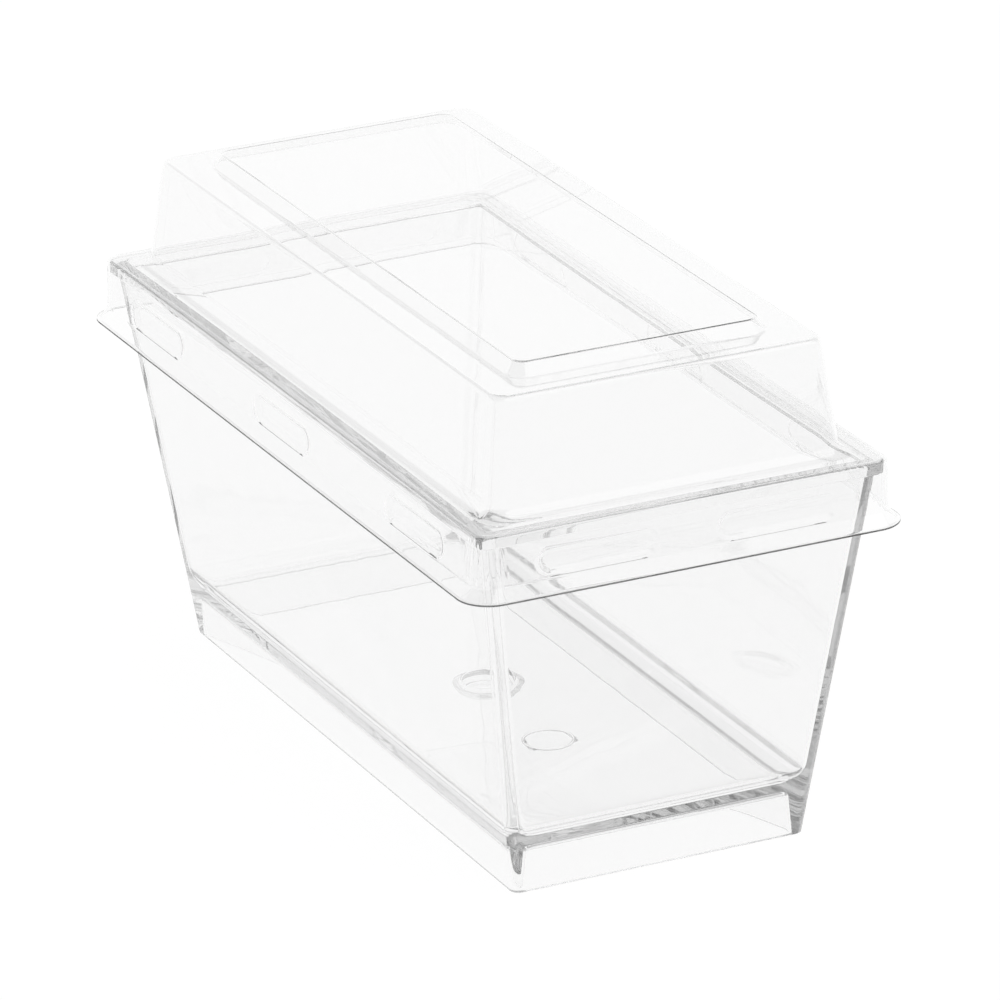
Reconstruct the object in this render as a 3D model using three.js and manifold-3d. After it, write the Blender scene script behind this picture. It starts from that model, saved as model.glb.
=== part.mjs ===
// A clear loaf mould for soap: a rigid, drafted tray and a thin formed lid that snaps over its rim.
// Millimetres. +X runs along the loaf, +Z is up, and the origin is the middle of the foot's underside.

import * as THREE from "three";
import { mergeVertices } from "three/addons/utils/BufferGeometryUtils.js";
import Module from "manifold-3d";

// ---- Tray: injection moulded, walls leaning out so that the loaf drops free ----
const FOOT_LENGTH = 151; // over the outer faces of the foot, at z = 0
const FOOT_WIDTH = 62.6;
const END_DRAFT = 8.4; // degrees that each short wall leans out
const SIDE_DRAFT = 7.5; // degrees that each long wall leans out
const TRAY_HEIGHT = 79.55; // underside of the foot to the top of the rim
const TRAY_WALL = 1.65;
const TRAY_CORNER = 1.8; // outer radius of the upright corners
const CAVITY_CORNER = 0.9; // inner radius of the upright corners
const CAVITY_FILLET = 4.5; // between the cavity's walls and its floor
const FLOOR_THICKNESS = 1.65;
const RIM_OVERHANG = 1.5; // how far the rim stands out from the walls
const RIM_THICKNESS = 2.4;
const RIM_CORNER = 2.4;
const RIM_EDGE = 0.3; // bevel along the rim's outer edges

// ---- Foot: the walls run on below the floor and leave a stacking recess under it ----
const RECESS_DEPTH = 9.45; // underside of the foot to the underside of the floor
const FOOT_EDGE = 1.8; // foot wall at its bottom edge
const FOOT_ROOT = 4; // foot wall where it meets the floor
const RECESS_CORNER = 1.5;
const GATE_WELL_DIAMETER = 9.2; // round well in the middle of the cavity's floor, over the moulding gate
const GATE_WELL_DEPTH = 1.8; // the floor dips this much there, so a boss stands out below it

// ---- Lid: one sheet, formed with a skirt, a ledge, a tapered dome and a stacking plateau ----
const SHEET = 0.35;
const LID_GAP = 0.3; // between the sheet and the rim, above it and all round it
const SKIRT_HEIGHT = 10.3; // top of the ledge down to the flared lip
const SKIRT_DRAFT = 3.2; // degrees
const SKIRT_CORNER_GROWTH = 1.4; // how much rounder the skirt's corners are at the lip than at the ledge
const LIP_WIDTH = 2.4;
const LIP_HEIGHT = 2.7;
const LIP_CORNER_GROWTH = 2.3; // how much rounder the lip's edge is than the skirt above it
const END_LEDGE = 6.55; // ledge from the skirt to the dome at the short ends
const SIDE_LEDGE = 5.95; // and along the long sides
const DOME_HEIGHT = 22.7; // ledge to the flat margin round the plateau
const DOME_END_DRAFT = 9.3; // degrees
const DOME_SIDE_DRAFT = 6.9; // degrees
const DOME_BASE_CORNER = 5;
const DOME_TOP_CORNER = 3.2;
const DOME_BASE_BEVEL = 1.4; // softened edge between the ledge and the dome
const DOME_TOP_BEVEL = 1.1; // softened edge between the dome and the margin
const PLATEAU_HEIGHT = 2.65;
const PLATEAU_SLOPE = 1.7; // width of the step up from the margin to the plateau
const PLATEAU_CORNER = 2.5;
const END_STACK_CLEARANCE = 2.6; // the plateau inside the recess of a mould stacked on it
const SIDE_STACK_CLEARANCE = 2;

// ---- Snap dents: long pockets pressed into the skirt, just below the rim ----
const DENT_LENGTH = 26;
const DENT_HEIGHT = 6;
const DENT_DEPTH = 0.25;
const DENT_BELOW_RIM = 1;
const SIDE_DENTS = [-61, 0, 61]; // middles of the dents along each long side
const END_DENTS = [-19, 19]; // and across each short end

const CORNER_STEPS = 6;
const FILLET_STEPS = 4;
const DENT_STEPS = 8; // segments in each round end of a dent
const GATE_STEPS = 24;

const slope = (degrees) => Math.tan(THREE.MathUtils.degToRad(degrees));

// ---- Shape makers ----

// One level of a piece: a rounded rectangle, given by its half length, half width, corner radius and height.
function ring(halfLength, halfWidth, corner, z) {
  const points = [];
  const quarters = [[1, -1], [1, 1], [-1, 1], [-1, -1]];
  quarters.forEach(([signX, signY], quarter) => {
    for (let step = 0; step <= CORNER_STEPS; step++) {
      const angle = (quarter - 1 + step / CORNER_STEPS) * (Math.PI / 2);
      const x = signX * (halfLength - corner) + corner * Math.cos(angle);
      const y = signY * (halfWidth - corner) + corner * Math.sin(angle);
      points.push(new THREE.Vector3(x, y, z));
    }
  });
  return points;
}

// A closed skin through the rings in order, with a flat face closing the first and the last ring.
function loft(rings) {
  const count = rings[0].length;
  const positions = rings.flat().flatMap((point) => point.toArray());
  const index = [];
  for (let level = 0; level + 1 < rings.length; level++) {
    for (let i = 0; i < count; i++) {
      const a = level * count + i;
      const b = level * count + ((i + 1) % count);
      index.push(a, b, a + count, b, b + count, a + count);
    }
  }
  const first = positions.length / 3;
  positions.push(0, 0, rings[0][0].z, 0, 0, rings.at(-1)[0].z);
  const lastRing = (rings.length - 1) * count;
  for (let i = 0; i < count; i++) {
    const next = (i + 1) % count;
    index.push(first, next, i);
    index.push(first + 1, lastRing + i, lastRing + next);
  }
  const geometry = new THREE.BufferGeometry();
  geometry.setAttribute("position", new THREE.Float32BufferAttribute(positions, 3));
  return geometry.setIndex(index);
}

// A flat stadium standing in its own plane, extruded along its normal from `back` to `front`.
function stadium(length, height, back, front) {
  const radius = height / 2;
  const reach = length / 2 - radius;
  const outline = new THREE.Shape();
  outline.absarc(reach, 0, radius, -Math.PI / 2, Math.PI / 2, false);
  outline.absarc(-reach, 0, radius, Math.PI / 2, (3 * Math.PI) / 2, false);
  const options = { depth: front - back, bevelEnabled: false, curveSegments: DENT_STEPS };
  return new THREE.ExtrudeGeometry(outline, options).translate(0, 0, back);
}

// ---- Solids ----

const wasm = await Module();
wasm.setup();

function solid(geometry) {
  const bare = geometry.clone();
  bare.deleteAttribute("normal");
  bare.deleteAttribute("uv");
  const merged = mergeVertices(bare, 1e-4);
  const vertProperties = new Float32Array(merged.attributes.position.array);
  const triVerts = new Uint32Array(merged.index.array);
  return new wasm.Manifold(new wasm.Mesh({ numProp: 3, vertProperties, triVerts }));
}

function geometryOf(manifold) {
  const mesh = manifold.getMesh();
  const geometry = new THREE.BufferGeometry();
  geometry.setAttribute("position", new THREE.BufferAttribute(mesh.vertProperties, 3));
  geometry.setIndex(new THREE.BufferAttribute(mesh.triVerts, 1));
  geometry.computeVertexNormals();
  return geometry;
}

// ---- Tray ----

const floorTop = RECESS_DEPTH + FLOOR_THICKNESS;
const rimUnderside = TRAY_HEIGHT - RIM_THICKNESS;

// Half length and half width of the tray's outer walls at a height.
const wallHalves = (z) => [
  FOOT_LENGTH / 2 + z * slope(END_DRAFT),
  FOOT_WIDTH / 2 + z * slope(SIDE_DRAFT),
];
const [rimHalfLength, rimHalfWidth] = wallHalves(rimUnderside).map((half) => half + RIM_OVERHANG);
const recessHalves = [FOOT_LENGTH / 2 - FOOT_EDGE, FOOT_WIDTH / 2 - FOOT_EDGE];

// A ring that stands `inside` the outer walls by a distance, at a height.
function wallRing(inside, corner, z) {
  const [halfLength, halfWidth] = wallHalves(z);
  return ring(halfLength - inside, halfWidth - inside, corner, z);
}

const rimRing = (inside, z) => ring(rimHalfLength - inside, rimHalfWidth - inside, RIM_CORNER - inside, z);

function cavityFilletRings() {
  const rings = [];
  for (let step = 0; step <= FILLET_STEPS; step++) {
    const angle = (step / FILLET_STEPS) * (Math.PI / 2);
    const z = floorTop + CAVITY_FILLET * (1 - Math.sin(angle));
    const inward = CAVITY_FILLET * (1 - Math.cos(angle));
    const corner = CAVITY_CORNER + (CAVITY_FILLET - CAVITY_CORNER) * Math.sin(angle);
    rings.push(wallRing(TRAY_WALL + inward, corner, z));
  }
  return rings;
}

function trayShell() {
  return loft([
    wallRing(FOOT_ROOT, RECESS_CORNER, RECESS_DEPTH),
    ring(...recessHalves, RECESS_CORNER, 0),
    wallRing(0, TRAY_CORNER, 0),
    wallRing(0, TRAY_CORNER, rimUnderside),
    rimRing(RIM_EDGE, rimUnderside),
    rimRing(0, rimUnderside + RIM_EDGE),
    rimRing(0, TRAY_HEIGHT - RIM_EDGE),
    rimRing(RIM_EDGE, TRAY_HEIGHT),
    wallRing(TRAY_WALL, CAVITY_CORNER, TRAY_HEIGHT),
    ...cavityFilletRings(),
  ]);
}

// A disc centred on the tray's axis between two heights.
function disc(radius, bottom, top) {
  const cylinder = new THREE.CylinderGeometry(radius, radius, top - bottom, GATE_STEPS);
  cylinder.rotateX(Math.PI / 2);
  return cylinder.translate(0, 0, (bottom + top) / 2);
}

// The boss under the floor reaches up to the floor's middle, so that the two are one solid.
function gateBoss() {
  const radius = GATE_WELL_DIAMETER / 2 + FLOOR_THICKNESS;
  return disc(radius, RECESS_DEPTH - GATE_WELL_DEPTH, RECESS_DEPTH + FLOOR_THICKNESS / 2);
}

const gateWell = () => disc(GATE_WELL_DIAMETER / 2, floorTop - GATE_WELL_DEPTH, floorTop + GATE_WELL_DEPTH);

// ---- Lid ----

const ledgeTop = TRAY_HEIGHT + LID_GAP + SHEET;
const lipTop = ledgeTop - SKIRT_HEIGHT;
const marginTop = ledgeTop + DOME_HEIGHT;
const skirtCorner = RIM_CORNER + LID_GAP + SHEET;
const skirtHalfLength = rimHalfLength + LID_GAP + SHEET;
const skirtHalfWidth = rimHalfWidth + LID_GAP + SHEET;
const skirtGrowth = SKIRT_HEIGHT * slope(SKIRT_DRAFT);
const plateauHalfLength = recessHalves[0] - END_STACK_CLEARANCE;
const plateauHalfWidth = recessHalves[1] - SIDE_STACK_CLEARANCE;

// The levels of the lid's outer face, from the lip up to the plateau:
// how far out it stands, its corner radius and its height.
function lidLevels() {
  const baseLength = skirtHalfLength - END_LEDGE;
  const baseWidth = skirtHalfWidth - SIDE_LEDGE;
  const dome = (share, inward, z) => [
    baseLength - share * DOME_HEIGHT * slope(DOME_END_DRAFT) - inward,
    baseWidth - share * DOME_HEIGHT * slope(DOME_SIDE_DRAFT) - inward,
    DOME_BASE_CORNER + share * (DOME_TOP_CORNER - DOME_BASE_CORNER),
    z,
  ];
  const skirt = (out, corner, z) => [skirtHalfLength + out, skirtHalfWidth + out, corner, z];
  const lipCorner = skirtCorner + SKIRT_CORNER_GROWTH;
  return [
    skirt(skirtGrowth + LIP_WIDTH, lipCorner + LIP_CORNER_GROWTH, lipTop - LIP_HEIGHT),
    skirt(skirtGrowth, lipCorner, lipTop),
    skirt(0, skirtCorner, ledgeTop),
    dome(0, -DOME_BASE_BEVEL, ledgeTop),
    dome(DOME_BASE_BEVEL / DOME_HEIGHT, 0, ledgeTop + DOME_BASE_BEVEL),
    dome(1 - DOME_TOP_BEVEL / DOME_HEIGHT, 0, marginTop - DOME_TOP_BEVEL),
    dome(1, DOME_TOP_BEVEL, marginTop),
    [plateauHalfLength, plateauHalfWidth, PLATEAU_CORNER + PLATEAU_SLOPE, marginTop],
    [plateauHalfLength - PLATEAU_SLOPE, plateauHalfWidth - PLATEAU_SLOPE, PLATEAU_CORNER,
      marginTop + PLATEAU_HEIGHT],
  ];
}

// The sheet's inner face: each level moved in and down by the sheet's thickness. The lip's own edge
// stays at its height, because the sheet ends there.
function innerLevel([halfLength, halfWidth, corner, z], level) {
  const down = level > 1 ? SHEET : 0;
  return [halfLength - SHEET, halfWidth - SHEET, Math.max(corner - SHEET, SHEET), z - down];
}

function lidShell() {
  const outer = lidLevels();
  const inner = outer.map(innerLevel).reverse();
  return loft([...inner, ...outer].map((level) => ring(...level)));
}

// The places of the dents: the skirt's outer face at the dent's middle, with the way the face looks.
function dentPlaces() {
  const top = rimUnderside - DENT_BELOW_RIM;
  const z = top - DENT_HEIGHT / 2;
  const out = (ledgeTop - z) * slope(SKIRT_DRAFT);
  const places = [];
  for (const side of [-1, 1]) {
    for (const along of SIDE_DENTS) {
      places.push({ point: [along, side * (skirtHalfWidth + out), z], facing: [0, side] });
    }
    for (const across of END_DENTS) {
      places.push({ point: [side * (skirtHalfLength + out), across, z], facing: [side, 0] });
    }
  }
  return places;
}

// Turns a stadium from its own plane onto the leaning face of the skirt.
function ontoSkirt(geometry, { point, facing }) {
  const lean = THREE.MathUtils.degToRad(SKIRT_DRAFT);
  const normal = new THREE.Vector3(...facing, 0).multiplyScalar(Math.cos(lean));
  normal.z = Math.sin(lean);
  const along = new THREE.Vector3(-facing[1], facing[0], 0);
  const up = new THREE.Vector3().crossVectors(normal, along);
  const place = new THREE.Matrix4().makeBasis(along, up, normal).setPosition(...point);
  return geometry.applyMatrix4(place);
}

function lidWithDents() {
  const clearOfSkirt = 1; // how far a pocket's cutter reaches out past the skirt
  let lid = solid(lidShell());
  for (const place of dentPlaces()) {
    const bulge = stadium(DENT_LENGTH, DENT_HEIGHT, -SHEET - DENT_DEPTH, -SHEET / 2);
    lid = lid.add(solid(ontoSkirt(bulge, place)));
  }
  for (const place of dentPlaces()) {
    const pocket = stadium(DENT_LENGTH - 2 * SHEET, DENT_HEIGHT - 2 * SHEET, -DENT_DEPTH, clearOfSkirt);
    lid = lid.subtract(solid(ontoSkirt(pocket, place)));
  }
  return lid;
}

// ---- Assembly ----

function clearPlastic(color, opacity, roughness) {
  return new THREE.MeshStandardMaterial({
    color, roughness, metalness: 0, opacity, transparent: true, flatShading: true,
  });
}

function piece(name, manifold, material) {
  const mesh = new THREE.Mesh(geometryOf(manifold), material);
  mesh.name = name;
  return mesh;
}

const tray = new THREE.Group();
const trayBody = solid(trayShell()).add(solid(gateBoss())).subtract(solid(gateWell()));
tray.add(piece("mould_tray", trayBody, clearPlastic(0xf4f6f6, 0.35, 0.06)));

const lid = new THREE.Group();
lid.add(piece("snap_lid", lidWithDents(), clearPlastic(0xf8f9f9, 0.25, 0.08)));

const mould = new THREE.Group();
mould.add(tray, lid);

export default mould;
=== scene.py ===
"""Looks for the clear soap loaf mould: a finely meshed tray and lid in clear plastic, which replace the two
CAD nodes. Metres, +X along the loaf, +Z up. Each is lofted through rounded rectangles, called levels."""

import math

import bpy
import numpy as np
from mathutils import Matrix, Vector


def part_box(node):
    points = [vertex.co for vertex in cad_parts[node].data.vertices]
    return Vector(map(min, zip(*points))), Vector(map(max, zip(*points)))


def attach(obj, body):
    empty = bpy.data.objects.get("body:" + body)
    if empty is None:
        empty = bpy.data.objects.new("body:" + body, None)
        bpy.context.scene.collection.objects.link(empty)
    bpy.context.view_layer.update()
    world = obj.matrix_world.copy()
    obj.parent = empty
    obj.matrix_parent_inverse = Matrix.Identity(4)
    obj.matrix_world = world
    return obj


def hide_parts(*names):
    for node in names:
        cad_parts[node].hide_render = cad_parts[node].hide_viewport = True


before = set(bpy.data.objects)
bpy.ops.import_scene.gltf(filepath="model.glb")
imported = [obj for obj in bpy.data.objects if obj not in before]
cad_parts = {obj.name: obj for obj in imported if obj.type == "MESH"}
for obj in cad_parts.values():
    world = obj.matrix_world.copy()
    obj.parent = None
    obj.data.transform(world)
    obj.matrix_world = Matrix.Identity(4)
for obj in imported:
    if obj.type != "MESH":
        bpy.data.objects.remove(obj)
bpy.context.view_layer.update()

MM = 0.001

# ---- Sizes of the tray, in metres ----
TRAY_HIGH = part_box("mould_tray")[1]
END_LEAN = math.tan(math.radians(8.4))  # the short walls lean out this much for each unit of height
SIDE_LEAN = math.tan(math.radians(7.5))
WALL = 1.65 * MM
FLOOR = 1.65 * MM
RECESS = 9.45 * MM  # the foot's underside to the floor's underside
FOOT_ROOT = 4 * MM  # from the outer walls to where the foot's inner faces meet the floor's underside
FOOT_EDGE = 1.8 * MM  # width of the band that the foot stands on
FOOT_BLEND = 0.25 * MM  # rounding of the foot's two edges
RIM_OUT = 1.5 * MM  # how far the rim stands out from the wall under it
RIM_THICK = 2.4 * MM
RIM_CORNER = 2.4 * MM  # radii of the upright corners
OUTER_CORNER = 1.8 * MM
CAVITY_CORNER = 1.7 * MM
RECESS_CORNER = 1.5 * MM
RECESS_BLEND = 1.4 * MM  # fillet between the foot's inner faces and the floor's underside
RIM_ROOT_BLEND = 0.35 * MM  # rounding of the rim: where it leaves the wall, below, above, and inside
RIM_LOW_BLEND = 0.45 * MM
RIM_TOP_BLEND = 0.5 * MM
MOUTH_BLEND = 0.35 * MM
CAVITY_BLEND = 4.5 * MM  # fillet between the cavity's walls and floor
CAVITY_FLOOR_CORNER = 4.6 * MM
SIDE_BOW = 0.7 * MM  # how far the long walls draw in at mid length, up at the rim
END_BOW = 0.2 * MM
WELL_RADIUS = 4.6 * MM  # the round dip in the floor over the moulding gate
WELL_DEPTH = 1.8 * MM
WELL_EDGE = 0.5 * MM  # rounding of its rim
WELL_TURN = 1.3 * MM  # rounding of the well's bottom, and of the boss that it makes under the floor
BOSS_TURN = 1.2 * MM
PIP_RADIUS = 1.1 * MM  # the stub where the sprue broke off
PIP_HEIGHT = 0.4 * MM
MARK_RADIUS = 5 * MM  # the plain ring under the floor
MARK_WIRE = 0.35 * MM  # radius of the ring's own section
MARK_SUNK = 0.1 * MM
MARK_PLACE = (32 * MM, -3 * MM)
TRAY_STATIONS, TRAY_CORNER_STEPS = 80, 10  # samples along each straight wall, and steps round each corner

# ---- Sizes of the lid ----
LID_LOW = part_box("snap_lid")[0]
SHEET = 0.35 * MM
LID_GAP = 0.3 * MM
STACK_END_GAP = 2.6 * MM  # from the plateau's foot to the recess of a mould stacked on the lid
STACK_SIDE_GAP = 2 * MM
SKIRT_HEIGHT = 10.3 * MM
SKIRT_LEAN = math.tan(math.radians(3.2))
LIP_WIDTH = 2.4 * MM
LIP_TRIM = 0.12 * MM  # keeps the visible lip inside the CAD lid's outline
LIP_FLAT = 0.6 * MM  # width of the level margin that the trimming die bears on, along the lip's edge
END_LEDGE = 6.55 * MM
SIDE_LEDGE = 5.95 * MM
DOME_HEIGHT = 22.7 * MM
DOME_END_LEAN = math.tan(math.radians(9.3))
DOME_SIDE_LEAN = math.tan(math.radians(6.9))
PLATEAU_HEIGHT = 2.65 * MM
PLATEAU_SLOPE = 1.7 * MM
PLATEAU_RING = 3 * MM  # an even ring of faces along the plateau's edge
LIP_CORNER, LIP_BLEND = 6.75 * MM, 0.5 * MM  # radii of the upright corners, and of the section's folds
SKIRT_FOOT_CORNER, SKIRT_FOOT_BLEND = 4.45 * MM, 0.9 * MM
SKIRT_TOP_CORNER, SKIRT_TOP_BLEND = 3.05 * MM, 0.9 * MM
DOME_FOOT_CORNER, DOME_FOOT_BLEND = 5 * MM, 2.6 * MM
DOME_TOP_CORNER, DOME_TOP_BLEND = 3.2 * MM, 1.1 * MM
PLATEAU_FOOT_CORNER, PLATEAU_FOOT_BLEND = 4.2 * MM, 0.7 * MM
PLATEAU_CORNER, PLATEAU_BLEND = 2.5 * MM, 0.6 * MM
DENT_REACH = 10 * MM  # from a dent's middle to the middle of its round end
DENT_RADIUS = 3 * MM
DENT_DEPTH = 0.85 * MM
DENT_FLANK = 1.6 * MM  # width of the soft slope round a dent
DENT_BELOW_RIM = 1 * MM  # from the rim's underside to a dent's upper edge
SIDE_DENTS = [-61 * MM, 0, 61 * MM]
END_DENTS = [-19 * MM, 19 * MM]
FLUTE_PITCH = 1.15 * MM
FLUTE_DEPTH = 0.018 * MM
FLUTE_REACH = 5.5 * MM  # how far the flutes run each way from the middle of a corner
FLUTE_FADE = 2 * MM
FLUTE_CORNER = 3.6 * MM  # the corner's radius where the flutes are
FLUTE_FOOT = (0.3 * MM, 1.5 * MM)  # they grow between these heights above the lip,
FLUTE_TOP = (0.9 * MM, 2 * MM)  # and fade out between these depths below the ledge
LID_CORNER_STEPS = 24

# ---- The camera's place: where it looks from, and how far the picture is turned ----
CAMERA_AZIMUTH = math.radians(64.744)
CAMERA_ELEVATION = math.radians(21.402)
CAMERA_ROLL = math.radians(-1.141)
CAMERA_DISTANCE = 1.62427
CAMERA_SHIFT = (0.00179, 0.04578)  # to the right and up, from the line through the part's origin
CAMERA_LENS, CAMERA_SENSOR = 291.46, 36  # mm

# ---- The studio: white walls up to an angle, a darker ceiling above it, and one large soft light ----
WALL_LIGHT = 1.0
WALL_TOP_LIGHT = 1.04
WALL_START, WALL_FULL = 8, 17  # degrees above the horizon
CEILING_LIGHT = 0.45
CEILING_START, CEILING_FULL = 24, 31  # degrees above the horizon
SOFTBOX_WAY = (0.5, 0.4, 0.75)
SOFTBOX_LIGHT = 1.3
SOFTBOX_EDGE, SOFTBOX_FULL = 38, 28  # degrees from its middle
FLOOR_SIZE = 30
FLOOR_BELOW = 0.2 * MM  # keeps it clear of the foot's flat underside
FLOOR_TONE, FLOOR_GLOW = 0.06, 0.972

# ---- The plastics ----
TRAY_TINT, TRAY_IOR, TRAY_ABSORPTION = 0.965, 1.59, 3.6  # absorption per metre
LID_TINT, LID_IOR, LID_ABSORPTION = 0.971, 1.57, 2
WAVE_SIZE, TRAY_WAVE, LID_WAVE = 20 * MM, 0.07 * MM, 0.06 * MM  # the waviness' size, and its heights
SMEAR_SCALE, SMEAR_START, SMEAR_FULL = 55, 0.45, 0.8  # the pattern of the smudges
SMUDGE = 0.01  # roughness of the faint smudges
LIGHT_BOUNCES = 500  # light is reflected many times inside the lid's thin sheet before it comes out


# ---- Levels and lofts ----


def level(end_half, side_half, corner, z, blend=0.0, rows=0):
    """A rounded rectangle at a height, the radius of the blend where the section turns there, and how many
    more rings the stretch up to the next level takes."""
    return {"at": np.array([end_half, side_half, corner, z]), "blend": blend, "rows": rows}


def closing_level(z, rows=0):
    """The tiny level in the middle of a floor or a plateau, which a fan of triangles closes."""
    return level(0.5 * MM, 0.2 * MM, 0.1 * MM, z, rows=rows)


def in_section(step):
    """A step between levels as it shows in a section through the wall: how far out, and how far up."""
    return np.array([(step[0] + step[1]) / 2, step[3]])


def blended(levels, steps=8):
    """The rings of a section: its levels, each turn that has a blend rounded, and the extra rows added."""
    stretches = []
    for i, here in enumerate(levels):
        point = here["at"]
        if not here["blend"]:
            stretches.append([point])
            continue
        back, on = levels[i - 1]["at"] - point, levels[i + 1]["at"] - point
        back, on = back / np.linalg.norm(in_section(back)), on / np.linalg.norm(in_section(on))
        half = math.acos(np.clip(in_section(back) @ in_section(on), -1, 1)) / 2
        reach = here["blend"] / math.tan(half)
        start, end, weight = point + back * reach, point + on * reach, math.sin(half)
        arc = []
        for t in np.linspace(0, 1, steps + 1):
            shares = np.array([(1 - t) ** 2, 2 * t * (1 - t) * weight, t * t])
            arc.append((shares[0] * start + shares[1] * point + shares[2] * end) / shares.sum())
        stretches.append(arc)
    rings = []
    for i, stretch in enumerate(stretches):
        rings.extend(stretch)
        if i + 1 < len(stretches):
            rows = levels[i]["rows"]
            gap = stretches[i + 1][0] - stretch[-1]
            rings.extend(stretch[-1] + gap * k / (rows + 1) for k in range(1, rows + 1))
    return np.array(rings)


def perimeter(end_stations, side_stations, corner_steps):
    """The samples round a ring, counter-clockwise from the middle of the corner at +X -Y: for each one, how
    far it is along the end and the side, from -1 to 1, and which way the wall faces there."""
    rows = []
    corners = [(1, -1), (1, 1), (-1, 1), (-1, -1)]
    for quarter, (sign_x, sign_y) in enumerate(corners):
        for step in range(corner_steps + 1):
            angle = (quarter - 1 + step / corner_steps) * math.pi / 2
            rows.append((sign_x, sign_y, math.cos(angle), math.sin(angle)))
        facing = quarter * math.pi / 2
        along = (end_stations, side_stations)[quarter % 2]
        for share in along:
            if quarter % 2 == 0:
                rows.append((sign_x, sign_x * share, math.cos(facing), 0.0))
            else:
                rows.append((-sign_y * share, sign_y, 0.0, math.sin(facing)))
    return np.array(rows)


def even(count):
    """Evenly spaced places between the ends of a straight stretch, from -1 to 1."""
    return np.linspace(-1, 1, count + 2)[1:-1]


def graded(half, spacing):
    """Places along a straight stretch of a half length, as far apart as spacing says, from -1 to 1."""
    x = np.linspace(-half, half, 4001)
    count = np.concatenate([[0], np.cumsum(np.diff(x) / spacing((x[1:] + x[:-1]) / 2))])
    total = math.ceil(count[-1])
    return np.interp(np.arange(1, total) / total, count / count[-1], x) / half


def points_of(rings, samples):
    """The surface's points, as an array of ring by sample by coordinate."""
    end_half, side_half, corner, z = (rings[:, k, None] for k in range(4))
    x = samples[:, 0] * (end_half - corner) + samples[:, 2] * corner
    y = samples[:, 1] * (side_half - corner) + samples[:, 3] * corner
    return np.stack([x, y, np.broadcast_to(z, x.shape)], axis=-1)


def surface_normals(points):
    """The normal at each point, to the outside of a section that is followed upwards."""
    round_way = np.roll(points, -1, axis=1) - np.roll(points, 1, axis=1)
    normals = np.cross(round_way, np.gradient(points, axis=0))
    return normals / np.linalg.norm(normals, axis=-1, keepdims=True)


def quads(first, second, count):
    """Faces between two rings of count vertices that start at the indices first and second."""
    here = np.arange(count)
    there = (here + 1) % count
    return np.stack([first + here, first + there, second + there, second + here], axis=1).tolist()


def fan(centre, ring, count, flip):
    """Triangles from a centre vertex to a ring."""
    faces = [(centre, ring + k, ring + (k + 1) % count) for k in range(count)]
    return [face[::-1] for face in faces] if flip else faces


def make_mesh(name, vertices, faces):
    """A smoothly shaded object in the scene, from an array of points and a list of faces."""
    mesh = bpy.data.meshes.new(name)
    mesh.from_pydata(vertices.tolist(), [], faces)
    mesh.shade_smooth()
    piece = bpy.data.objects.new(name, mesh)
    bpy.context.scene.collection.objects.link(piece)
    return piece


def weigh_normals(piece):
    """Flat faces stay flat between their rounded edges."""
    weighted = piece.modifiers.new("even_faces", "WEIGHTED_NORMAL")
    weighted.keep_sharp = True
    weighted.weight = 100


def apply_modifiers(piece):
    """Bakes what the piece's modifiers do into its mesh."""
    graph = bpy.context.evaluated_depsgraph_get()
    made = bpy.data.meshes.new_from_object(piece.evaluated_get(graph), depsgraph=graph)
    piece.modifiers.clear()
    piece.data = made


def smooth_step(low, high, x):
    """A soft rise from 0 at low to 1 at high, or a soft fall where high is the smaller."""
    t = np.clip((x - low) / (high - low), 0, 1)
    return t * t * (3 - 2 * t)


# ---- Tray ----

rim_under = TRAY_HIGH.z - RIM_THICK
rim_end, rim_side = TRAY_HIGH.x, TRAY_HIGH.y
foot_end = rim_end - RIM_OUT - rim_under * END_LEAN
foot_side = rim_side - RIM_OUT - rim_under * SIDE_LEAN


def wall_level(inside, corner, z, blend=0.0, rows=0):
    """A level that stands inside the outer walls by a distance."""
    end_half, side_half = foot_end + z * END_LEAN - inside, foot_side + z * SIDE_LEAN - inside
    return level(end_half, side_half, corner, z, blend, rows)


def tray_levels():
    """The whole section: from the middle of the floor's underside, down the foot, up outside, over the rim
    and down inside to the middle of the cavity's floor."""
    floor_top = RECESS + FLOOR
    rim_face = dict(end_half=rim_end, side_half=rim_side, corner=RIM_CORNER)
    return [
        closing_level(RECESS, rows=3),
        wall_level(FOOT_ROOT, RECESS_CORNER, RECESS, blend=RECESS_BLEND, rows=3),
        level(foot_end - FOOT_EDGE, foot_side - FOOT_EDGE, RECESS_CORNER, 0, blend=FOOT_BLEND),
        wall_level(0, OUTER_CORNER, 0, blend=FOOT_BLEND, rows=30),
        wall_level(0, OUTER_CORNER, rim_under, blend=RIM_ROOT_BLEND),
        level(**rim_face, z=rim_under, blend=RIM_LOW_BLEND, rows=1),
        level(**rim_face, z=TRAY_HIGH.z, blend=RIM_TOP_BLEND, rows=2),
        wall_level(WALL, CAVITY_CORNER, TRAY_HIGH.z, blend=MOUTH_BLEND, rows=30),
        wall_level(WALL, CAVITY_CORNER, floor_top, blend=CAVITY_BLEND),
        wall_level(WALL + 1.2 * CAVITY_BLEND, CAVITY_FLOOR_CORNER, floor_top, rows=4),
        closing_level(floor_top),
    ]


def bow_in(points, samples):
    """Flat walls draw in as they cool: most at mid length and near the rim, and not at all at the floor."""
    height = np.clip((points[..., 2] - RECESS) / (TRAY_HIGH.z - RECESS), 0, 1)
    rise = smooth_step(0, 1, height)
    points[..., 1] -= np.sign(samples[:, 1]) * SIDE_BOW * (1 - samples[:, 0] ** 2) * rise
    points[..., 0] -= np.sign(samples[:, 0]) * END_BOW * (1 - samples[:, 1] ** 2) * rise


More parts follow.
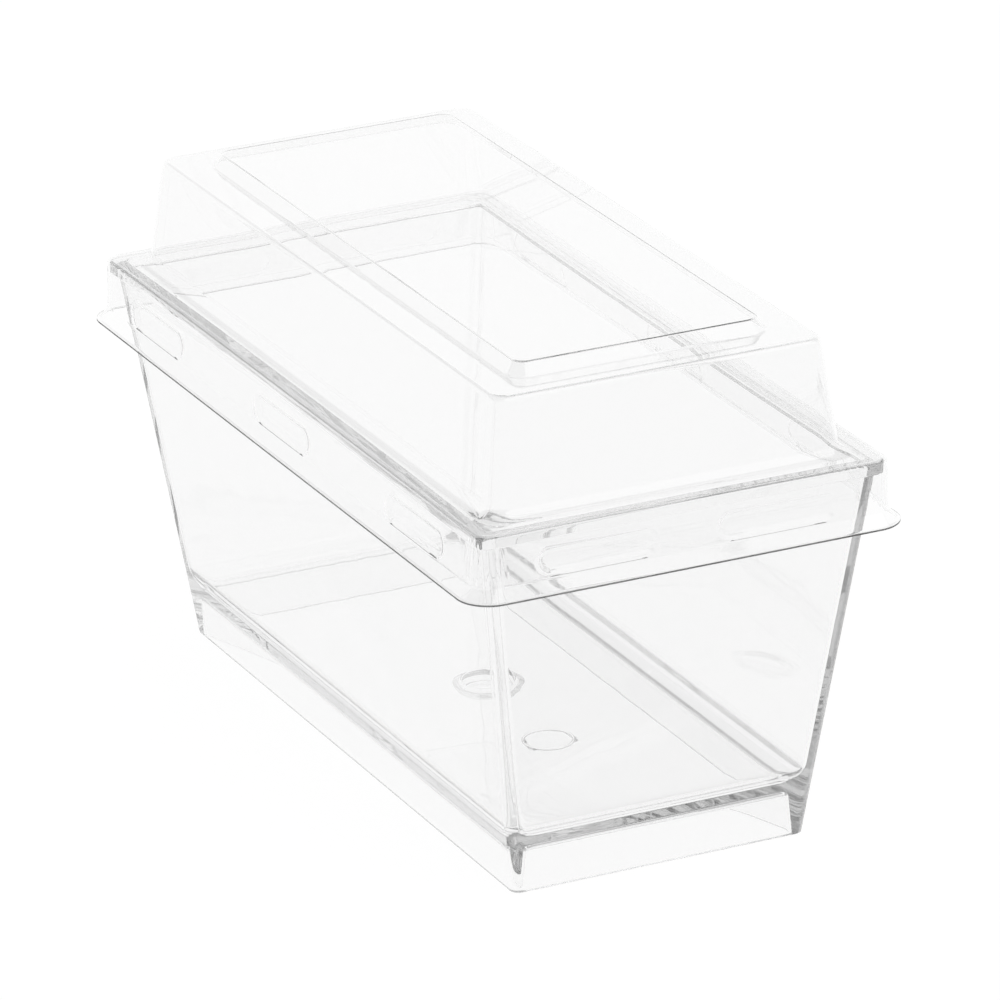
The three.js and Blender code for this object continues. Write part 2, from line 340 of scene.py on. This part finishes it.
def lathe(name, profile, place, steps=48):
    """A closed solid turned about +Z through place, from (radius, z) points that run down from the axis."""
    vertices, faces = [], []
    inner = profile[1:-1]
    for radius, z in inner:
        for k in range(steps):
            angle = 2 * math.pi * k / steps
            vertices.append((place[0] + radius * math.cos(angle), place[1] + radius * math.sin(angle), z))
    for row in range(len(inner) - 1):
        faces += [face[::-1] for face in quads(row * steps, (row + 1) * steps, steps)]
    top, bottom = len(vertices), len(vertices) + 1
    vertices += [(*place, profile[0][1]), (*place, profile[-1][1])]
    faces += fan(top, 0, steps, False) + fan(bottom, (len(inner) - 1) * steps, steps, True)
    return make_mesh(name, np.array(vertices), faces)


def arc(centre, radius, start, end, steps=8):
    """Points (radius, z) round part of a circle, from one angle in degrees to another."""
    turns = np.radians(np.linspace(start, end, steps + 1))
    return [(centre[0] + radius * math.cos(t), centre[1] + radius * math.sin(t)) for t in turns]


def well_profile():
    """What is cut out of the floor over the gate: a well with a rolled rim and a rounded bottom."""
    floor_top = RECESS + FLOOR
    bottom, clear = floor_top - WELL_DEPTH, floor_top + FLOOR
    rim = arc((WELL_RADIUS + WELL_EDGE, floor_top - WELL_EDGE), WELL_EDGE, 90, 180)
    foot = arc((WELL_RADIUS - WELL_TURN, bottom + WELL_TURN), WELL_TURN, 0, -90)
    return [(0, clear), (rim[0][0], clear), *rim, *foot, (0, bottom)]


def boss_profile():
    """The boss that the well makes under the floor, with the pip where the sprue broke off."""
    radius, bottom, inside = WELL_RADIUS + FLOOR, RECESS - WELL_DEPTH, RECESS + FLOOR / 2
    root = arc((radius + WELL_EDGE, RECESS - WELL_EDGE), WELL_EDGE, 90, 180)
    foot = arc((radius - BOSS_TURN, bottom + BOSS_TURN), BOSS_TURN, 0, -90)
    pip_shape = [(1, 0), (0.9, 0.75), (0.6, 1), (0, 1)]
    pip = [(PIP_RADIUS * wide, bottom - PIP_HEIGHT * down) for wide, down in pip_shape]
    return [(0, inside), (root[0][0], inside), *root, *foot, *pip]


def mark_ring():
    """A plain moulded ring under the floor, where such trays carry a mark."""
    bpy.ops.mesh.primitive_torus_add(
        major_radius=MARK_RADIUS, minor_radius=MARK_WIRE, major_segments=72, minor_segments=14,
        location=(*MARK_PLACE, RECESS + MARK_SUNK),
    )
    ring = bpy.context.object
    ring.data.shade_smooth()
    return ring


def combine(piece, other, operation):
    """Joins another closed solid to the piece or cuts it out, and removes it."""
    step = piece.modifiers.new("combine", "BOOLEAN")
    step.operation, step.solver, step.object = operation, "EXACT", other
    apply_modifiers(piece)
    bpy.data.objects.remove(other)


def make_tray():
    """The shell, with the gate's boss and the ring joined on under the floor and the gate's well cut out."""
    rings = blended(tray_levels())
    samples = perimeter(even(TRAY_STATIONS), even(TRAY_STATIONS), TRAY_CORNER_STEPS)
    points = points_of(rings, samples)
    bow_in(points, samples)
    count, ring_count = len(samples), len(rings)
    vertices = points.reshape(-1, 3)
    vertices = np.vstack([vertices, [(0, 0, rings[0][3]), (0, 0, rings[-1][3])]])
    faces = []
    for row in range(ring_count - 1):
        faces += quads(row * count, (row + 1) * count, count)
    faces += fan(ring_count * count, 0, count, True)
    faces += fan(ring_count * count + 1, (ring_count - 1) * count, count, False)
    tray = make_mesh("clear_tray", vertices, faces)
    combine(tray, lathe("boss", boss_profile(), (0, 0)), "UNION")
    combine(tray, mark_ring(), "UNION")
    combine(tray, lathe("well", well_profile(), (0, 0)), "DIFFERENCE")
    weigh_normals(tray)
    return tray


# ---- Lid ----

ledge_top = TRAY_HIGH.z + LID_GAP + SHEET
lip_top = ledge_top - SKIRT_HEIGHT
margin_top = ledge_top + DOME_HEIGHT
skirt_end, skirt_side = rim_end + LID_GAP + SHEET, rim_side + LID_GAP + SHEET
dent_height = rim_under - DENT_BELOW_RIM - DENT_RADIUS


def lid_levels():
    """The sheet's outer face, from the lip up to the middle of the plateau."""
    out = SKIRT_HEIGHT * SKIRT_LEAN
    base_end, base_side = skirt_end - END_LEDGE, skirt_side - SIDE_LEDGE
    top_end, top_side = base_end - DOME_HEIGHT * DOME_END_LEAN, base_side - DOME_HEIGHT * DOME_SIDE_LEAN
    step_end, step_side = foot_end - FOOT_EDGE - STACK_END_GAP, foot_side - FOOT_EDGE - STACK_SIDE_GAP
    flat_end, flat_side = step_end - PLATEAU_SLOPE, step_side - PLATEAU_SLOPE
    lip, lip_low = out + LIP_WIDTH - LIP_TRIM, LID_LOW.z + SHEET
    fold, fold_corner = lip - LIP_FLAT, LIP_CORNER - LIP_FLAT
    top = margin_top + PLATEAU_HEIGHT
    return [
        level(skirt_end + lip, skirt_side + lip, LIP_CORNER, lip_low),
        level(skirt_end + fold, skirt_side + fold, fold_corner, lip_low, blend=LIP_BLEND, rows=4),
        level(skirt_end + out, skirt_side + out, SKIRT_FOOT_CORNER, lip_top, blend=SKIRT_FOOT_BLEND, rows=26),
        level(skirt_end, skirt_side, SKIRT_TOP_CORNER, ledge_top, blend=SKIRT_TOP_BLEND, rows=3),
        level(base_end, base_side, DOME_FOOT_CORNER, ledge_top, blend=DOME_FOOT_BLEND, rows=8),
        level(top_end, top_side, DOME_TOP_CORNER, margin_top, blend=DOME_TOP_BLEND, rows=3),
        level(step_end, step_side, PLATEAU_FOOT_CORNER, margin_top, blend=PLATEAU_FOOT_BLEND),
        level(flat_end, flat_side, PLATEAU_CORNER, top, blend=PLATEAU_BLEND),
        level(flat_end - PLATEAU_RING, flat_side - PLATEAU_RING, PLATEAU_CORNER, top, rows=5),
        closing_level(top),
    ]


def dent_field(along, z, middles):
    """How deep the dents go at places along a wall: long pockets with round ends and a soft edge."""
    depth = np.zeros(np.broadcast(along, z).shape)
    for middle in middles:
        beside = np.maximum(np.abs(along - middle) - DENT_REACH, 0)
        away = np.hypot(beside, z - dent_height)
        depth = np.maximum(depth, DENT_DEPTH * smooth_step(DENT_RADIUS, DENT_RADIUS - DENT_FLANK, away))
    return depth


def press_dents(points, samples):
    """Pushes the skirt's straight stretches in where the dents are."""
    z = points[..., 2]
    on_side, on_end = np.abs(samples[:, 3]) == 1, np.abs(samples[:, 2]) == 1
    side_depth = dent_field(points[..., 0], z, SIDE_DENTS) * on_side
    end_depth = dent_field(points[..., 1], z, END_DENTS) * on_end
    points[..., 1] -= samples[:, 3] * side_depth
    points[..., 0] -= samples[:, 2] * end_depth


def flute_corners(points, samples):
    """Fine upright flutes stiffen the skirt's corners."""
    turn = np.arctan2(samples[:, 3], samples[:, 2])
    from_corner = FLUTE_CORNER * (np.mod(turn, math.pi / 2) - math.pi / 4)
    straight = (np.abs(samples[:, 2]) == 1) | (np.abs(samples[:, 3]) == 1)
    beyond_end = (1 - np.abs(samples[:, 1])) * (skirt_side - FLUTE_CORNER)
    beyond_side = (1 - np.abs(samples[:, 0])) * (skirt_end - FLUTE_CORNER)
    beyond = np.where(np.abs(samples[:, 2]) == 1, beyond_end, beyond_side)
    away = np.where(straight, FLUTE_CORNER * math.pi / 4 + beyond, np.abs(from_corner))
    fade = smooth_step(FLUTE_REACH, FLUTE_REACH - FLUTE_FADE, away)
    wave = np.cos(2 * math.pi * away / FLUTE_PITCH) * fade
    z = points[..., 2]
    rise = smooth_step(lip_top + FLUTE_FOOT[0], lip_top + FLUTE_FOOT[1], z)
    rise = rise * smooth_step(ledge_top - FLUTE_TOP[0], ledge_top - FLUTE_TOP[1], z)
    points[..., 0] += samples[:, 2] * wave * rise * FLUTE_DEPTH
    points[..., 1] += samples[:, 3] * wave * rise * FLUTE_DEPTH


def lid_spacing(half, middles):
    """How fine the lid's samples are along a wall: finest at the flutes, fine at the ends of the dents."""
    plain, in_dent, at_dent_end, at_flutes = 4 * MM, 2.5 * MM, 0.3 * MM, 0.24 * MM
    dent_end, dent_end_reach, dent_inside, flute_stretch = 1.5 * MM, 2 * MM, -0.7 * MM, 3.2 * MM

    def spacing(x):
        gap = np.full(x.shape, plain)
        for middle in middles:
            beside = np.abs(x - middle) - DENT_REACH
            gap = np.where(np.abs(beside - dent_end) < dent_end_reach, at_dent_end, gap)
            gap = np.where(beside < dent_inside, np.minimum(gap, in_dent), gap)
        return np.where(half - np.abs(x) < flute_stretch, at_flutes, gap)

    return spacing


def make_lid():
    """The sheet: its outer face, and an inner face offset from it by the sheet's thickness."""
    rings = blended(lid_levels())
    side_half, end_half = skirt_end - FLUTE_CORNER, skirt_side - FLUTE_CORNER
    side_stations = graded(side_half, lid_spacing(side_half, SIDE_DENTS))
    end_stations = graded(end_half, lid_spacing(end_half, END_DENTS))
    samples = perimeter(end_stations, side_stations, LID_CORNER_STEPS)
    outer = points_of(rings, samples)
    press_dents(outer, samples)
    flute_corners(outer, samples)
    inner = outer - surface_normals(outer) * SHEET
    rows = np.concatenate([inner[::-1], outer])
    count, ring_count, last = len(samples), len(rings), len(rows) - 1
    tops = [(0, 0, rings[-1][3] - SHEET), (0, 0, rings[-1][3])]
    vertices = np.vstack([rows.reshape(-1, 3), tops])
    faces = []
    for row in range(last):
        faces += quads(row * count, (row + 1) * count, count)
    faces += fan(len(vertices) - 2, 0, count, True)
    faces += fan(len(vertices) - 1, last * count, count, False)
    lid = make_mesh("clear_lid", vertices, faces)
    # the faces between the inner surface's last ring and the outer one's first are the sheet's trimmed edge
    trimmed = [(ring_count - 1) * count <= k < ring_count * count for k in range(len(faces))]
    lid.data.polygons.foreach_set("material_index", trimmed)
    lid.data.polygons.foreach_set("use_smooth", [not cut for cut in trimmed])
    weigh_normals(lid)
    return lid


# ---- Materials ----


def clear_plastic(name, tint, ior, absorption, wave_height):
    """Clear plastic: a slightly uneven surface that bends reflections, faint smudges in its gloss, and a
    body that takes up light over long paths, so that it is dark where it is seen along a wall."""
    material = bpy.data.materials.new(name)
    material.use_nodes = True
    nodes, links = material.node_tree.nodes, material.node_tree.links
    shader = nodes["Principled BSDF"]
    shader.inputs["Base Color"].default_value = (tint, tint, tint, 1)
    shader.inputs["IOR"].default_value = ior
    shader.inputs["Transmission Weight"].default_value = 1
    place = nodes.new("ShaderNodeTexCoord")
    waves = nodes.new("ShaderNodeTexNoise")
    waves.inputs["Scale"].default_value = 1 / WAVE_SIZE
    waves.inputs["Detail"].default_value = 1.0
    bump = nodes.new("ShaderNodeBump")
    bump.inputs["Strength"].default_value = 1
    bump.inputs["Distance"].default_value = wave_height
    links.new(place.outputs["Object"], waves.inputs["Vector"])
    links.new(waves.outputs["Fac"], bump.inputs["Height"])
    links.new(bump.outputs["Normal"], shader.inputs["Normal"])
    smears = nodes.new("ShaderNodeTexNoise")
    smears.inputs["Scale"].default_value = SMEAR_SCALE
    smears.inputs["Detail"].default_value = 4
    gloss = nodes.new("ShaderNodeMapRange")
    gloss.inputs["From Min"].default_value = SMEAR_START
    gloss.inputs["From Max"].default_value = SMEAR_FULL
    gloss.inputs["To Min"].default_value = 0
    gloss.inputs["To Max"].default_value = SMUDGE
    links.new(place.outputs["Object"], smears.inputs["Vector"])
    links.new(smears.outputs["Fac"], gloss.inputs["Value"])
    links.new(gloss.outputs["Result"], shader.inputs["Roughness"])
    body = nodes.new("ShaderNodeVolumeAbsorption")
    body.inputs["Color"].default_value = (0, 0, 0, 1)
    body.inputs["Density"].default_value = absorption
    links.new(body.outputs["Volume"], nodes["Material Output"].inputs["Volume"])
    return material


def painted_dark_cut_edge():
    """The trimmed edge of the sheet: its roughness is real, and its near-black tint is painted shade, which
    draws a dark line round the lip.
    """
    material = bpy.data.materials.new("painted_dark_cut_edge")
    material.use_nodes = True
    nodes, links = material.node_tree.nodes, material.node_tree.links
    shader = nodes["Principled BSDF"]
    shader.inputs["IOR"].default_value = LID_IOR
    shader.inputs["Transmission Weight"].default_value = 1
    place = nodes.new("ShaderNodeTexCoord")
    chatter = nodes.new("ShaderNodeTexNoise")
    chatter.inputs["Scale"].default_value = 1500
    chatter.inputs["Detail"].default_value = 2
    # painted shade: the cut face's colour is set near black, 0.03 to 0.2 with the chatter, to give the lip
    # its dark line
    painted_shade = nodes.new("ShaderNodeMapRange")
    painted_shade.inputs["To Min"].default_value = 0.03
    painted_shade.inputs["To Max"].default_value = 0.2
    gloss = nodes.new("ShaderNodeMapRange")
    gloss.inputs["To Min"].default_value = 0.35
    gloss.inputs["To Max"].default_value = 0.6
    links.new(place.outputs["Object"], chatter.inputs["Vector"])
    links.new(chatter.outputs["Fac"], painted_shade.inputs["Value"])
    links.new(painted_shade.outputs["Result"], shader.inputs["Base Color"])
    links.new(chatter.outputs["Fac"], gloss.inputs["Value"])
    links.new(gloss.outputs["Result"], shader.inputs["Roughness"])
    return material


def white_floor():
    """A plain white floor that glows evenly, as a light table does, so it takes hardly any shadow."""
    material = bpy.data.materials.new("white_floor")
    material.use_nodes = True
    shader = material.node_tree.nodes["Principled BSDF"]
    shader.inputs["Base Color"].default_value = (FLOOR_TONE, FLOOR_TONE, FLOOR_TONE, 1)
    shader.inputs["Roughness"].default_value = 1
    shader.inputs["Specular IOR Level"].default_value = 0
    shader.inputs["Emission Color"].default_value = (1, 1, 1, 1)
    shader.inputs["Emission Strength"].default_value = FLOOR_GLOW
    return material


# ---- Surroundings ----


def make_floor():
    """The wide white surface that the part stands on."""
    bpy.ops.mesh.primitive_plane_add(size=FLOOR_SIZE, location=(0, 0, -FLOOR_BELOW))
    floor = bpy.context.object
    floor.name = "floor"
    floor.data.materials.append(white_floor())


def make_world():
    """White walls all round, which the clear plastic is seen against, under a darker ceiling that gives its
    rounded edges their grey lines, and a soft light overhead."""
    world = bpy.data.worlds.new("studio")
    bpy.context.scene.world = world
    world.use_nodes = True
    nodes, links = world.node_tree.nodes, world.node_tree.links
    background = nodes["Background"]
    place = nodes.new("ShaderNodeTexCoord")

    def ramp(source, low, high, at_low, at_high):
        fade = nodes.new("ShaderNodeMapRange")
        fade.interpolation_type = "SMOOTHSTEP"
        fade.inputs["From Min"].default_value = low
        fade.inputs["From Max"].default_value = high
        fade.inputs["To Min"].default_value = at_low
        fade.inputs["To Max"].default_value = at_high
        links.new(source, fade.inputs["Value"])
        return fade.outputs["Result"]

    def towards(direction):
        facing = nodes.new("ShaderNodeVectorMath")
        facing.operation = "DOT_PRODUCT"
        facing.inputs[1].default_value = Vector(direction).normalized()
        links.new(place.outputs["Generated"], facing.inputs[0])
        return facing.outputs["Value"]

    def pick(operation, first, second):
        choice = nodes.new("ShaderNodeMath")
        choice.operation = operation
        links.new(first, choice.inputs[0])
        links.new(second, choice.inputs[1])
        return choice.outputs["Value"]

    up = towards((0, 0, 1))
    rise = [math.sin(math.radians(angle)) for angle in (WALL_START, WALL_FULL, CEILING_START, CEILING_FULL)]
    walls = ramp(up, *rise[:2], WALL_LIGHT, WALL_TOP_LIGHT)
    ceiling = ramp(up, *rise[2:], WALL_TOP_LIGHT, CEILING_LIGHT)
    spread = [math.cos(math.radians(angle)) for angle in (SOFTBOX_EDGE, SOFTBOX_FULL)]
    softbox = ramp(towards(SOFTBOX_WAY), *spread, 0, SOFTBOX_LIGHT)
    light = pick("MAXIMUM", pick("MINIMUM", walls, ceiling), softbox)
    links.new(light, background.inputs["Color"])


def make_camera():
    """A long lens, placed by its angles about the part's origin, its distance, and a small shift."""
    forward = Vector((
        -math.sin(CAMERA_AZIMUTH) * math.cos(CAMERA_ELEVATION),
        math.cos(CAMERA_AZIMUTH) * math.cos(CAMERA_ELEVATION),
        -math.sin(CAMERA_ELEVATION),
    ))
    level_right = Vector((math.cos(CAMERA_AZIMUTH), math.sin(CAMERA_AZIMUTH), 0))
    level_up = level_right.cross(forward)
    right = level_right * math.cos(CAMERA_ROLL) + level_up * math.sin(CAMERA_ROLL)
    up = level_up * math.cos(CAMERA_ROLL) - level_right * math.sin(CAMERA_ROLL)
    data = bpy.data.cameras.new("camera")
    data.lens, data.sensor_width = CAMERA_LENS, CAMERA_SENSOR
    data.clip_start, data.clip_end = 0.1, 60
    camera = bpy.data.objects.new("camera", data)
    bpy.context.scene.collection.objects.link(camera)
    turned = Matrix((right, up, -forward)).transposed().to_4x4()
    place = right * CAMERA_SHIFT[0] + up * CAMERA_SHIFT[1] - forward * CAMERA_DISTANCE
    camera.matrix_world = Matrix.Translation(place) @ turned
    bpy.context.scene.camera = camera


def set_look():
    """Plain tones, and enough bounces for light that runs along inside the clear walls."""
    scene = bpy.context.scene
    scene.view_settings.view_transform = "Standard"
    scene.cycles.max_bounces = LIGHT_BOUNCES
    scene.cycles.transmission_bounces = LIGHT_BOUNCES
    scene.cycles.glossy_bounces = LIGHT_BOUNCES
    scene.cycles.transparent_max_bounces = 16


# ---- Assembly ----

tray = make_tray()
tray.data.materials.append(clear_plastic("clear_tray", TRAY_TINT, TRAY_IOR, TRAY_ABSORPTION, TRAY_WAVE))
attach(tray, "tray")
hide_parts("mould_tray")

lid = make_lid()
lid.data.materials.append(clear_plastic("clear_lid", LID_TINT, LID_IOR, LID_ABSORPTION, LID_WAVE))
lid.data.materials.append(painted_dark_cut_edge())
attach(lid, "lid")
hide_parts("snap_lid")

make_floor()
make_world()
make_camera()
set_look()
